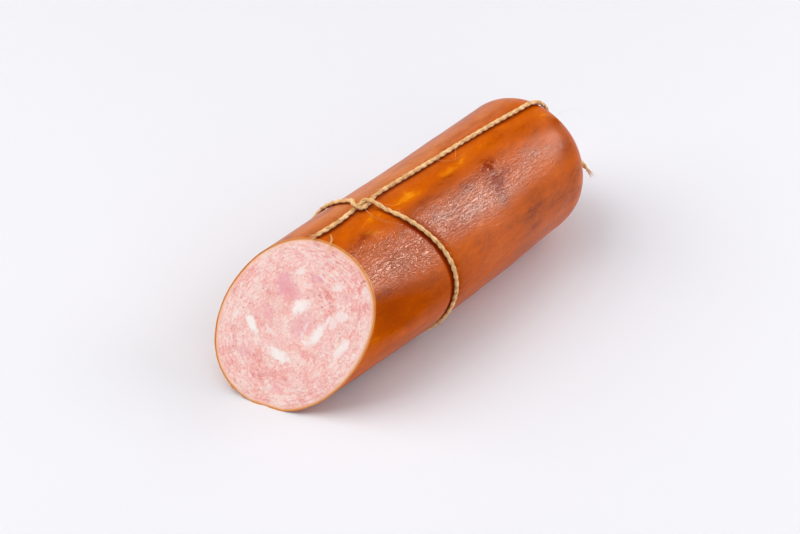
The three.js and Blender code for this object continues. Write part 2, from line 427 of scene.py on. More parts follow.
# the casing
casing = {
    "columns": 320,
    "rowStep": 0.85,
    "domeRows": 62,
    "wall": 0.35,
    "hollowDepth": 0.3,  # of the tail's open end, in its middle
    "pleats": [(17, 0.30, 1.0), (23, 0.24, 4.0), (31, 0.14, 2.0)],  # towards the neck: count, height, turn
    "pleatsFrom": 27.0,  # the dome's radius where the pleats begin
    "pleatsReach": 6.0,  # in front of the dome
    "calmRadius": (6.0, 16.0),  # towards the neck the unevenness fades out between these radii
    # beyond the tip: distance from it, and radius over the neck's
    "throat": [(0.45, 1.5), (1.3, 0.75)],
    "throatFrom": 2.2,  # the dome's rows end this much wider than the neck
    "bound": {"rows": 14, "over": 0.25, "squeeze": 0.45, "reach": 0.9},
    "tailRows": 10,
    "tailFolds": [(9, 0.13, 0.4, 0), (14, 0.07, 0, 2)],  # count, share of the radius, turn, unevenness
    "lip": [(0.985, 4.2), (0.93, 3.4), (0.85, 2.4), (0.78, 1.2)],  # the tail's hollow end: share, radius
    "ragged": [(1.8, 0.10, 11), (5.0, 0.12, 12)],  # the cut edge: size, height, noise seed
    # nicks of the cut edge: angle, half width in degrees, depth
    "nicks": [(293, 3, 0.55), (299, 2, -0.4), (284, 3, 0.4), (270, 3, 0.45), (236, 3, 0.3), (150, 3, 0.3)],
    "edgeReach": 3.2,  # how far behind the cut its raggedness fades out
    "offFloor": 0.01,
    # the places below are x, angle in degrees, half length, half width and strength
    # darker and browner, from the smoke
    "smokeMarks": [
        (44, 32, 16, 5, 0.6), (96, 50, 14, 3, 0.6), (138, 24, 11, 6, 0.6), (72, 350, 18, 5, 0.5),
        (58, 214, 20, 4, 0.5), (122, 202, 14, 5, 0.5), (160, 40, 7, 5, 0.5), (112, 340, 12, 4, 0.6),
        (116.5, 113, 5, 4, 0.85), (114.5, 121, 4, 3.5, 1.0), (112.5, 129, 4.5, 5, 1.0),
        (110.5, 140, 3, 4, 0.7), (121, 126, 5, 2.5, 0.5), (106, 117, 7, 2, 0.6), (34, 106, 7, 3, 0.85),
        (24, 112, 7, 3, 0.75), (84, 138, 14, 4, 0.3), (140, 128, 12, 4, 0.3), (66, 112, 8, 2.5, 0.5),
        (150, 106, 8, 2, 0.5), (80, 131, 62, 8, 0.45), (161, 138, 7, 5, 0.5), (168, 118, 6, 4, 0.5),
        (92, 104, 8, 1.8, 0.7), (74, 108, 6, 2, 0.6), (132, 100, 9, 2, 0.6), (40, 140, 6, 4, 0.3),
    ],
    # brighter amber, where the casing is thin and clear
    "clearMarks": [
        (112, 34, 20, 5, 0.7), (58, 12, 16, 6, 0.7), (140, 352, 14, 8, 0.7), (92, 190, 20, 5, 0.5),
        (50, 95, 7, 4, 1.2), (73, 100, 9, 3.5, 1.4), (97, 100, 8, 3, 1.0), (29, 97, 6, 4, 0.8),
        (128, 98, 9, 3, 0.8), (146, 108, 7, 3, 0.6), (34, 93, 24, 8.5, 1.0), (78, 96, 24, 8.5, 1.0),
        (120, 99, 26, 9, 0.95), (58, 102, 12, 5, 0.6), (156, 104, 16, 10, 0.7), (10, 150, 8, 30, 0.5),
        (24, 172, 24, 14, 0.6), (92, 151, 40, 4, 0.5), (60, 205, 40, 10, 0.3), (169, 128, 14, 34, 0.85),
    ],
    # glossier and more crinkled; elsewhere the skin is satin and even
    "glossMarks": [
        (30, 128, 13, 13, 0.95), (43, 134, 12, 11, 1.1), (56, 142, 8, 9, 0.8), (70, 120, 12, 9, 0.7),
        (88, 126, 20, 11, 0.8), (108, 130, 15, 10, 0.6), (100, 150, 16, 8, 0.3), (136, 128, 20, 12, 0.35),
        (160, 122, 12, 12, 0.3), (60, 42, 28, 13, 0.7), (128, 36, 26, 12, 0.6), (92, 350, 40, 12, 0.5),
        (46, 214, 26, 11, 0.4), (136, 206, 26, 12, 0.45),
    ],
    # deeper red: painted shade on the lower flanks
    "deepShadeMarks": [
        (28, 165, 20, 13, 0.42), (62, 176, 22, 9, 0.25), (24, 20, 16, 8, 0.2), (150, 330, 20, 9, 0.2),
    ],
    # duller and paler, where it has dried, and painted light and sheen on the far side of the twine
    "dryAndSheenMarks": [(40, 66, 60, 9, 0.9), (110, 68, 60, 9, 1.0), (160, 70, 14, 6, 0.5)],
    "stainAndGrooveShade": {"behind": 2.2, "reach": 1.5, "from": 98, "to": 124},  # the dark line beside the loop: painted shade in the groove under the twine
    "pressed": {"within": 1.3, "reach": 1.1},  # how near a strand the skin is painted darker: painted shade beside the twine, where the skin is also pressed
    "edgeShows": 0.3,  # width of the cut edge's own colour
    # rows of the inner side
    "inner": {
        "toLoop": [0, 0.8, 2, 5, 10, 18, 28, 38], "underLoop": 9, "behindLoop": 16, "straight": 7,
        "inDome": [0.35, 0.6, 0.8, 0.92, 0.985],
    },
}


def hiddenRows(rows, inset):
    # for a side that doesn't show: few rows, but close ones that follow the groove under the loop
    underLoop = loop["at"] + np.arange(-rows["underLoop"], rows["underLoop"] + 1.0)
    behindLoop = np.linspace(loop["at"] + rows["behindLoop"], domeStart, rows["straight"])
    inDome = domeStart + np.array(rows["inDome"]) * (body["domeLength"] - inset)
    return np.concatenate([rows["toLoop"], underLoop, behindLoop, inDome])[:, None]


def turnFrom(angle, atAngle):
    # degrees between two directions round the sausage, at most half a turn
    return (np.degrees(angle) - atAngle + 180) % 360 - 180


def patchSum(x, angle, marks):
    total = np.zeros(np.broadcast(x, angle).shape)
    for atX, atAngle, halfLength, halfWidth, strength in marks:
        across = np.radians(turnFrom(angle, atAngle)) * body["radius"] / halfWidth
        total = total + strength * np.exp(-(((x - atX) / halfLength) ** 2) - across ** 2)
    return total


def casingProfile():
    straight = np.linspace(0, domeStart, int(domeStart / casing["rowStep"]) + 1)
    turn = np.linspace(0, 1, casing["domeRows"])[1:] * 0.5 * math.pi
    over = domeStart + body["domeLength"] * np.sin(turn) ** (2 / body["domeFullness"])
    over = over[bodyRadius(over, 0) > neck["radius"] + casing["throatFrom"]]
    x = np.concatenate([straight, over])
    rows = [(place, radius, 0.0) for place, radius in zip(x, bodyRadius(x, 0))]
    rows += [(body["length"] + past, neck["radius"] + wider, 0.0) for past, wider in casing["throat"]]
    start = body["length"] + neck["start"]
    loose = start + neck["length"]
    lanes = [start + twine["radius"] + twine["gap"] + lane * neck["lane"] for lane in range(3)]
    bound = casing["bound"]
    for place in np.linspace(start, loose, bound["rows"]):
        squeeze = sum(math.exp(-(((place - lane) / bound["reach"]) ** 2)) for lane in lanes)
        rows.append((place, neck["radius"] + bound["over"] - bound["squeeze"] * squeeze, 0.0))
    flare = tail["radius"] - neck["radius"]
    shares = np.linspace(0, 1, casing["tailRows"])[1:]
    outer = [(share, neck["radius"] + flare * math.sin(share * tail["flare"])) for share in shares]
    for share, radius in outer + casing["lip"]:
        rows.append((loose + share * tail["length"], radius, tail["droop"] * share ** 2))
    return np.array(rows)


def fadedRelief(x, angle, radius):
    return skinRelief(x, angle) * smoothstep(radius, *casing["calmRadius"])


def pushOut(points, angle, push, floor):
    # moves a surface out from the axis, but never below the floor
    points[..., 1] += push * np.cos(angle)
    points[..., 2] = np.maximum(points[..., 2] + push * np.sin(angle), floor)


def foldRelief(x, angle, radius, points):
    # pleats of the dome, which deepen towards the neck, and folds of the loose tail
    deep = 1 - smoothstep(radius, neck["radius"], casing["pleatsFrom"])
    deep = np.where(x > domeStart - casing["pleatsReach"], deep, 0)
    pleats = sum(height * np.cos(count * angle + turn + 1.2 * noiseAt(points, 9, 8 + turn))
                 for count, height, turn in casing["pleats"])
    pastNeck = smoothstep(x, body["length"] + neck["start"] + neck["length"], body["reach"])
    folds = sum(share * np.cos(count * angle + turn + uneven * np.sin(angle))
                for count, share, turn, uneven in casing["tailFolds"])
    return pleats * deep + pastNeck * radius * folds, deep


def raggedEdge(edge, angle):
    # how far each place of the cut edge lies behind the straight cut
    ragged = sum(height * noiseAt(edge, size, seed) for size, height, seed in casing["ragged"])
    for atAngle, halfWidth, depth in casing["nicks"]:
        ragged = ragged + depth * np.exp(-((turnFrom(angle, atAngle) / halfWidth) ** 4))
    return ragged


def skinMarks(x, surfaceX, angle, distance, deep):
    # what the material has to know about each place of the outside
    stainAndGrooveShade, pressed = casing["stainAndGrooveShade"], casing["pressed"]
    away = surfaceX - loop["at"] - loopOffset(angle)
    grooveShade = np.exp(-(((away + stainAndGrooveShade["behind"]) / stainAndGrooveShade["reach"]) ** 2))
    grooveShade = grooveShade * smoothstep(np.degrees(angle), stainAndGrooveShade["from"], stainAndGrooveShade["to"])
    return {
        # painted shade beside every strand, where the skin is also pressed
        "nearStrandShade": np.exp(-((np.maximum(distance - pressed["within"], 0) / pressed["reach"]) ** 2)),
        # painted shade in the groove beside the loop, and deeper painted shade on the lower flanks
        "grooveShade": np.maximum(grooveShade, patchSum(surfaceX, angle, casing["deepShadeMarks"])),
        # paler where dried, with painted light and sheen on the far side of the twine
        "dryAndSheen": patchSum(surfaceX, angle, casing["dryAndSheenMarks"]),
        "glossy": patchSum(surfaceX, angle, casing["glossMarks"]),
        "smoke": patchSum(surfaceX, angle, casing["smokeMarks"]),
        "clear": patchSum(surfaceX, angle, casing["clearMarks"]),
        "folds": deep,
        "cutEdge": np.clip(1 - x / casing["edgeShows"], 0, 1) + 0 * angle,
    }


def makeCasing(material):
    columns = casing["columns"]
    angle = (np.arange(columns) + 0.5)[None, :] / columns * 2 * math.pi
    profile = casingProfile()
    x = profile[:, :1]
    radius = profile[:, 1:2] + 0 * angle
    outer = ringPoint(x, angle, radius, 0.0, profile[:, 2:3] + 0 * angle)
    surfaceX = outer[..., 0]
    detail, distance = surfaceDetail(outer, surfaceX, angle)
    folds, deep = foldRelief(x, angle, radius, outer)
    calm = smoothstep(radius, *casing["calmRadius"])
    push = calm * (skinRelief(surfaceX, angle) + detail) + folds
    pushOut(outer, angle, push, casing["offFloor"])
    ragged = raggedEdge(outer[:1], angle)
    outer[..., 0] += np.clip(1 - x / casing["edgeReach"], 0, 1) * ragged
    # the inner side, coarser, from the dome's tip back to the cut
    wall = casing["wall"]
    innerX = hiddenRows(casing["inner"], wall)
    inner = ringPoint(innerX, angle, bodyRadius(innerX, wall) + 0 * angle, wall)
    pushOut(inner, angle, fadedRelief(inner[..., 0], angle, bodyRadius(innerX, 0)), wall)
    inner[..., 0] += np.clip(1 - innerX / casing["edgeReach"], 0, 1) * ragged
    innerTip = [[body["length"] - wall, 0, axisHeight]]
    hollow = [[profile[-1, 0] - casing["hollowDepth"], 0, axisHeight - profile[-1, 2]]]
    points = np.vstack([inner[::-1].reshape(-1, 3), outer.reshape(-1, 3), innerTip, hollow])
    rows = len(inner) + len(outer)
    tip = rows * columns
    faces = gridFaces(rows, columns, flip=True)
    faces += capFaces(tip, 0, columns)
    faces += capFaces(tip + 1, (rows - 1) * columns, columns, flip=True)
    # the inside counts as cut edge all over
    inside = len(inner) * columns
    marks = skinMarks(x, surfaceX, angle, distance, deep)
    attributes = {key: np.concatenate([np.full(inside, float(key == "cutEdge")), values.ravel(), [0, 0]])
                  for key, values in marks.items()}
    piece = makePiece("smokedCasing", points, faces, material, attributes)
    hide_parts("casing")


def smokedCollagen():
    # smoked fibrous collagen casing, dried and oiled: clear amber mottled brown by the smoke, satin, and in
    # places glossy and finely crinkled
    material, tree = newMaterial("smoked_collagen_casing")
    place = addNode(tree, "TexCoord").outputs["Object"]
    along = addNode(tree, "Mapping", {"Vector": place, "Scale": (0.45, 1, 1)}).outputs[0]
    # smoke clouds of 24 mm, mottling of 6 mm and flecks of 1.3 mm, all longer along the sausage
    cloud = addNode(tree, "TexNoise", {"Vector": along, "Scale": 1 / 0.024, "Detail": 3, "Roughness": 0.5})
    mottle = addNode(tree, "TexNoise", {"Vector": along, "Scale": 1 / 0.006, "Detail": 5, "Roughness": 0.62,
                                        "Distortion": 0.5})
    fleck = addNode(tree, "TexNoise", {"Vector": along, "Scale": 1 / 0.0013, "Detail": 3, "Roughness": 0.6})
    cloud, mottle, fleck = cloud.outputs[0], mottle.outputs[0], fleck.outputs[0]
    names = ("clear", "smoke", "folds", "nearStrandShade", "cutEdge", "grooveShade", "dryAndSheen", "glossy")
    clear, smoke, folds, strand, edge, grooveShade, dryAndSheen, glossy = [
        addNode(tree, "Attribute", attribute_name=name).outputs["Fac"] for name in names]
    # how light the skin is, from all of these
    tone = 0.02
    shares = ((cloud, 0.90), (mottle, 0.90), (fleck, 0.40), (clear, 0.16), (smoke, -0.14), (folds, -0.16))
    for part, share in shares:
        tone = addNode(tree, "Math", {0: part, 1: share, 2: tone}, operation="MULTIPLY_ADD").outputs[0]
    tone = addNode(tree, "Math", {0: tone, 1: -0.62}, operation="ADD").outputs[0]
    skin = addNode(tree, "ValToRGB", {0: tone}, stops=[
        (0.0, "5e1c0a"), (0.22, "8e380a"), (0.42, "b3500a"),
        (0.62, "c65806"), (0.82, "d16206"), (1.0, "e88a10"),
    ]).outputs[0]
    patchy = addNode(tree, "MapRange", {0: mottle, 1: 0.36, 2: 0.64, 3: 0.25, 4: 0.75}).outputs[0]
    streaks = addNode(tree, "Math", {0: fleck, 1: 0.8, 2: mottle}, operation="MULTIPLY_ADD").outputs[0]
    streaks = addNode(tree, "MapRange", {0: streaks, 1: 0.80, 2: 0.98}).outputs[0]
    marked = addNode(tree, "Math", {0: smoke, 1: streaks}, operation="MULTIPLY").outputs[0]
    # dried pale with painted sheen, streaked by smoke, painted shade beside the twine, beside the loop and on
    # the lower flanks, and the cut edge itself
    layers = [(dryAndSheen, patchy, "d28048"), (marked, 1.0, "8c3210"), (strand, 0.62, "9a2c06"),
              (grooveShade, 0.95, "841e03"), (edge, 1.0, "df9048")]
    for part, share, hexCode in layers:
        cover = addNode(tree, "Math", {0: part, 1: share}, operation="MULTIPLY").outputs[0]
        skin = addNode(tree, "Mix", {0: cover, 6: skin, 7: colour(hexCode)}, data_type="RGBA").outputs[2]
    # leathery crinkles about 1 mm apart, flatter where the skin is clear and deeper where it is glossy
    wrinkle = addNode(tree, "Mapping", {"Vector": place, "Rotation": (0, 0, 0.2), "Scale": (0.30, 1, 1)})
    crinkle = addNode(tree, "TexNoise", {"Vector": wrinkle.outputs[0], "Scale": 1 / 0.00105, "Detail": 2,
                                         "Roughness": 0.5, "Distortion": 0.7}).outputs[0]
    ridged = addNode(tree, "Math", {0: crinkle, 1: 0.5}, operation="SUBTRACT").outputs[0]
    ridged = addNode(tree, "Math", {0: ridged}, operation="ABSOLUTE").outputs[0]
    ridged = addNode(tree, "MapRange", {0: ridged, 1: 0.0, 2: 0.14, 3: 1.0, 4: 0.0}).outputs[0]
    depth = addNode(tree, "MapRange", {0: clear, 1: 0.25, 2: 0.9, 3: 1.0, 4: 0.12}).outputs[0]
    for part, low, high, least, most in ((cloud, 0.35, 0.6, 0.45, 1.0), (glossy, 0.1, 1.5, 0.3, 1.25)):
        share = addNode(tree, "MapRange", {0: part, 1: low, 2: high, 3: least, 4: most}).outputs[0]
        depth = addNode(tree, "Math", {0: depth, 1: share}, operation="MULTIPLY").outputs[0]
    bump = addNode(tree, "Bump", {"Strength": depth, "Distance": 0.00022, "Height": ridged})
    rough = addNode(tree, "MapRange", {0: mottle, 3: 0.26, 4: 0.38}).outputs[0]
    rough = addNode(tree, "Math", {0: strand, 1: 0.3, 2: rough}, operation="MULTIPLY_ADD").outputs[0]
    gloss = addNode(tree, "MapRange", {0: glossy, 1: 0.05, 2: 1.5, 3: 0.14, 4: 0.80}).outputs[0]
    for part, share in ((clear, -0.10), (strand, -0.42), (grooveShade, -0.4), (marked, -0.22)):
        gloss = addNode(tree, "Math", {0: part, 1: share, 2: gloss}, operation="MULTIPLY_ADD",
                        use_clamp=True).outputs[0]
    shader = addNode(tree, "BsdfPrincipled", {
        "Base Color": skin, "Roughness": rough, "IOR": 1.47, "Specular IOR Level": gloss,
        "Normal": bump.outputs[0],
    })
    addNode(tree, "OutputMaterial", {"Surface": shader.outputs[0]})
    return material


makeCasing(smokedCollagen())

# the meat
# places on the cut face are millimetres from its middle: towards +Y and up the slope
meat = {
    "columns": 480,
    "faceRows": 118,
    "inset": 0.37,
    # rows of the side behind the cut
    "side": {
        "toLoop": [0.9, 2.5, 6, 12, 22, 32, 41], "underLoop": 9, "behindLoop": 16, "straight": 8,
        "inDome": [0.3, 0.5, 0.68, 0.82, 0.92, 0.98],
    },
    # pieces of fat: across, up, half length, half width, turn in degrees, strength
    "fat": [
        (-1.6, 9.1, 4.3, 2.7, 141, 1.0), (-0.6, 10.4, 2.6, 2.0, 150, 0.9), (19.4, -5.2, 4.2, 2.0, -130, 1.0),
        (4.0, -15.0, 4.9, 2.5, -161, 1.0), (6.2, -13.6, 2.0, 1.5, 150, 0.8),
        (-18.4, 5.8, 3.0, 2.0, -87, 0.65), (-15.0, 4.6, 4.0, 0.8, -75, 0.75),
        (-11.7, -1.6, 5.2, 2.1, -62, 0.95), (-24.4, -4.3, 4.2, 1.8, -60, 0.85),
        (-21.3, 9.0, 3.2, 2.4, 141, 0.75), (2.1, 23.9, 2.1, 1.3, 151, 0.7),
        (11.6, -4.9, 2.4, 0.7, -123, 0.6), (-2.3, 18.9, 2.6, 1.3, 178, 0.5), (-6.4, -6.0, 1.7, 0.8, 172, 0.7),
        (-8.8, 24.1, 2.4, 0.6, -150, 0.6), (-17, 21.6, 2.3, 1.6, 155, 0.6), (-13.6, 25.6, 1.8, 0.6, 30, 0.5),
        (5.5, 8.0, 0.9, 0.6, 0, 0.4),
    ],
    # cubes of ham, the same
    "ham": [
        (8.1, 16.6, 4.9, 4.0, -120, 1.0), (3.6, 14.2, 4.2, 2.6, 30, 0.8), (-6.5, 22.9, 2.9, 1.7, 159, 1.0),
        (-3.1, 0.5, 5.4, 4.0, 131, 0.62), (13.6, 2.1, 3.4, 2.3, -110, 0.55),
        (20.7, -17.4, 2.9, 2.3, -60, 0.6), (-20.5, 17.2, 3.8, 2.4, 140, 0.35),
        (2.2, -29.5, 3.0, 2.4, 20, 0.45), (-18.0, -22.0, 3.4, 1.6, 40, 0.3),
    ],
    # looser, redder mince, the same
    "lean": [
        (7.2, -25.7, 6.5, 3.6, 10, 0.5), (-14.2, 16.2, 3.2, 1.6, 30, 0.8), (4.5, 11.9, 6.5, 4.2, 20, 0.4),
        (-0.2, -24.9, 3.6, 1.2, 10, 0.5), (-7.0, 23.2, 2.6, 1.5, 159, 0.6), (-8.9, -11.5, 5.0, 1.8, 15, 0.7),
        (16.4, -3.6, 4.4, 1.6, -100, 0.5), (-15.5, 11.0, 5.0, 1.4, -70, 0.6), (8.6, 24.0, 4.0, 1.2, 0, 0.6),
        (-27.5, 25.0, 3.0, 0.9, -70, 0.9), (14.0, -20.0, 6.0, 3.0, 30, 0.5), (17.0, 14.0, 5.0, 1.6, 60, 0.5),
        (-6.0, -20.0, 7.0, 2.0, 20, 0.3),
    ],
    # pinholes: across, up, half size
    "holes": [
        (17.7, 12.1, 0.35), (16.6, 12.9, 0.3), (14.1, 10.6, 0.35), (-9.1, 16.2, 0.5), (-9.9, 15.4, 0.35),
        (-11.3, 11.3, 0.5), (-14.6, 14.2, 0.45), (-16.4, 13.1, 0.35), (25.4, 1.2, 0.4), (28.0, -8.0, 0.3),
        (26.2, -17.0, 0.5), (25.4, -18.0, 0.35), (10, -16.6, 0.35), (-6, -16.6, 0.4), (3.9, -17.5, 0.35),
        (11.0, 7.6, 0.3), (22.6, 3.8, 0.4), (-28.2, 27.6, 0.7), (-27.2, 26.6, 0.6), (-29.0, 26.0, 0.45),
        (20.6, -27.4, 0.4), (-22.0, 2.2, 0.3), (3.2, 17.8, 0.35), (-4.4, 14.0, 0.35),
    ],
    "holeStrength": 0.85,
    # heights on the cut face, mm
    "grain": 0.075,
    "swell": (13.0, 0.20),  # size and height
    "fatStands": 0.10,
    "hamSinks": 0.06,
    "streakHeight": 0.05,
    "holeDepth": 0.03,
    "rimStep": (0.28, 0.9),  # the meat shrinks behind the casing's edge: how far, and how wide
    # scattered at random: their number, how far from the middle, size and strength
    "seed": 20,
    "reach": 33,
    "tall": 1.08,  # of the cut face, against its width
    "smallHoles": {"count": 46, "size": (0.16, 0.3), "strength": (0.4, 0.9)},
    "flecks": {"count": 120, "size": (0.35, 1.0), "strength": (0.25, 0.7), "length": 2.2},
}


def blobSum(across, up, blobs, wobble, soft):
    total = np.zeros(across.shape)
    for atAcross, atUp, halfLength, halfWidth, turn, strength in blobs:
        c, s = math.cos(math.radians(turn)), math.sin(math.radians(turn))
        u = ((across - atAcross) * c + (up - atUp) * s) / halfLength
        v = (-(across - atAcross) * s + (up - atUp) * c) / halfWidth
        gap = (np.abs(u) ** 2.4 + np.abs(v) ** 2.4) ** (1 / 2.4) + wobble  # between an oval and a brick
        total = np.maximum(total, strength * (1 - smoothstep(gap, 1 - soft, 1 + soft)))
    return total


def scatteredHoles(rng, across, up):
    holes = np.zeros(across.shape)
    for atAcross, atUp, size in meat["holes"]:
        gap = np.hypot(across - atAcross, (up - atUp) * 1.3)
        holes = np.maximum(holes, 1 - smoothstep(gap / size, 0.6, 1.5))
    small = meat["smallHoles"]
    for _ in range(small["count"]):
        turn, far = rng.uniform(0, 2 * math.pi), meat["reach"] * math.sqrt(rng.uniform(0.02, 1))
        size, strength = rng.uniform(*small["size"]), rng.uniform(*small["strength"])
        gap = np.hypot(across - far * math.cos(turn), up - meat["tall"] * far * math.sin(turn))
        holes = np.maximum(holes, strength * (1 - smoothstep(gap / size, 0.6, 1.7)))
    return holes


def scatteredFlecks(rng, across, up, wobble):
    # small flakes of fat, which lie more or less along the rim
    flecks = meat["flecks"]
    total = np.zeros(across.shape)
    for _ in range(flecks["count"]):
        turn, far = rng.uniform(0, 2 * math.pi), meat["reach"] * math.sqrt(rng.uniform(0.0, 1))
        size, strength = rng.uniform(*flecks["size"]), rng.uniform(*flecks["strength"])
        tilt = turn + math.pi / 2 + rng.uniform(-0.6, 0.6)
        c, s = math.cos(tilt), math.sin(tilt)
        du, dv = across - far * math.cos(turn), up - meat["tall"] * far * math.sin(turn)
        gap = np.hypot((du * c + dv * s) / flecks["length"], -du * s + dv * c) / size
        total = np.maximum(total, strength * (1 - smoothstep(gap + wobble, 0.5, 1.3)))
    return total


def facePattern(across, up, edgeDistance, angle):
    # how much of each kind of meat shows at each place of the cut face
    flat = np.stack([across, up, 0 * up], axis=-1)
    wobble = 0.34 * noiseAt(flat, 2.1, 21) + 0.26 * noiseAt(flat, 0.9, 22)
    fat = blobSum(across, up, meat["fat"], 1.3 * wobble, 0.40) * (0.92 + 0.12 * noiseAt(flat, 1.6, 25))
    rng = np.random.default_rng(meat["seed"])
    holes = meat["holeStrength"] * scatteredHoles(rng, across, up) * (1 - fat)
    flecks = scatteredFlecks(rng, across, up, wobble)
    # near the rim the mince was smeared round as the casing was filled
    ringwise = np.stack([9 * np.cos(angle), 9 * np.sin(angle), edgeDistance / 0.8], axis=-1)
    flow = noiseAt(ringwise + 0.8 * wobble[..., None], 1.0, 23)
    flow = flow + 0.5 * noiseAt(ringwise * [1.7, 1.7, 2.1], 1.0, 24)
    towardsRim = smoothstep(np.hypot(across, up), 12, 32)
    return {
        "fat": np.maximum(fat, 0.75 * flecks),
        "ham": 0.9 * blobSum(across, up, meat["ham"], 1.1 * wobble, 0.38),
        "lean": blobSum(across, up, meat["lean"], 1.6 * wobble, 0.65),
        "hole": holes,
        "streak": flow * (0.25 + 0.75 * towardsRim),
        "ringA": ringwise[..., 0],
        "ringB": ringwise[..., 1],
        "ringC": ringwise[..., 2],
        "nearRim": towardsRim,
    }


def faceHeight(across, up, edgeDistance, pattern):
    flat = np.stack([across, up, 0 * up], axis=-1)
    grain = noiseAt(flat, 1.0, 31) + 0.7 * noiseAt(flat, 2.3, 32)
    swellSize, swellHeight = meat["swell"]
    stepDepth, stepWidth = meat["rimStep"]
    height = meat["grain"] * grain * (1 - 0.8 * pattern["fat"]) * (1 - 0.6 * pattern["ham"])
    height += swellHeight * noiseAt(flat, swellSize, 33)
    height += meat["fatStands"] * pattern["fat"] - meat["hamSinks"] * pattern["ham"]
    height += meat["streakHeight"] * pattern["streak"] - meat["holeDepth"] * pattern["hole"]
    height *= smoothstep(edgeDistance, 0.1, 2.0)
    return height - stepDepth * (1 - smoothstep(edgeDistance, 0.0, stepWidth))


def cutDirections():
    # level along the cut face, up its slope, and straight out of it
    level = np.array([math.tan(body["cutYaw"]), 1, 0])
    out = np.array([-1, math.tan(body["cutYaw"]), math.tan(body["cutPitch"])])
    level /= np.linalg.norm(level)
    out /= np.linalg.norm(out)
    return level, np.cross(level, out), out


def makeMeat(material):
    columns = meat["columns"]
    inset = meat["inset"]
    level, upSlope, outFromCut = cutDirections()
    angle = (np.arange(columns) + 0.5)[None, :] / columns * 2 * math.pi
    share = np.linspace(0, 1, meat["faceRows"] + 1)[1:, None]
    rimRadius = float(bodyRadius(np.array(0.0), inset))
    rim = ringPoint(np.zeros((1, 1)), angle, rimRadius + 0 * angle, inset)
    pushOut(rim, angle, skinRelief(rim[..., 0], angle), inset)
    middle = np.array([0, 0, axisHeight])
    face = middle + share[..., None] * (rim - middle)
    face[..., 0] = cutOffset(face[..., 1], face[..., 2] - axisHeight)
    edgeDistance = (1 - share) * np.linalg.norm(rim - middle, axis=-1)
    across, up = (face - middle) @ level, (face - middle) @ upSlope
    pattern = facePattern(across, up, edgeDistance, angle + 0 * share)
    face += faceHeight(across, up, edgeDistance, pattern)[..., None] * outFromCut
    # behind the cut the meat only has to fill the casing
    sideX = hiddenRows(meat["side"], inset)
    side = ringPoint(sideX, angle, bodyRadius(sideX, inset) + 0 * angle, inset)
    pushOut(side, angle, fadedRelief(side[..., 0], angle, bodyRadius(sideX, 0)), inset)
    ends = [middle, [body["length"] - inset, 0, axisHeight]]
    points = np.vstack([face.reshape(-1, 3), side.reshape(-1, 3), ends])
    rows = len(face) + len(side)
    faces = gridFaces(rows, columns, flip=True)
    faces += capFaces(rows * columns, 0, columns)
    faces += capFaces(rows * columns + 1, (rows - 1) * columns, columns, flip=True)
    pattern["rim"] = edgeDistance + 0 * angle
    hidden = np.zeros(len(side) * columns + 2)
    attributes = {key: np.concatenate([values.ravel(), hidden]) for key, values in pattern.items()}
    piece = makePiece("sausageMeat", points, faces, material, attributes, sharp=60)
    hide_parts("filling")


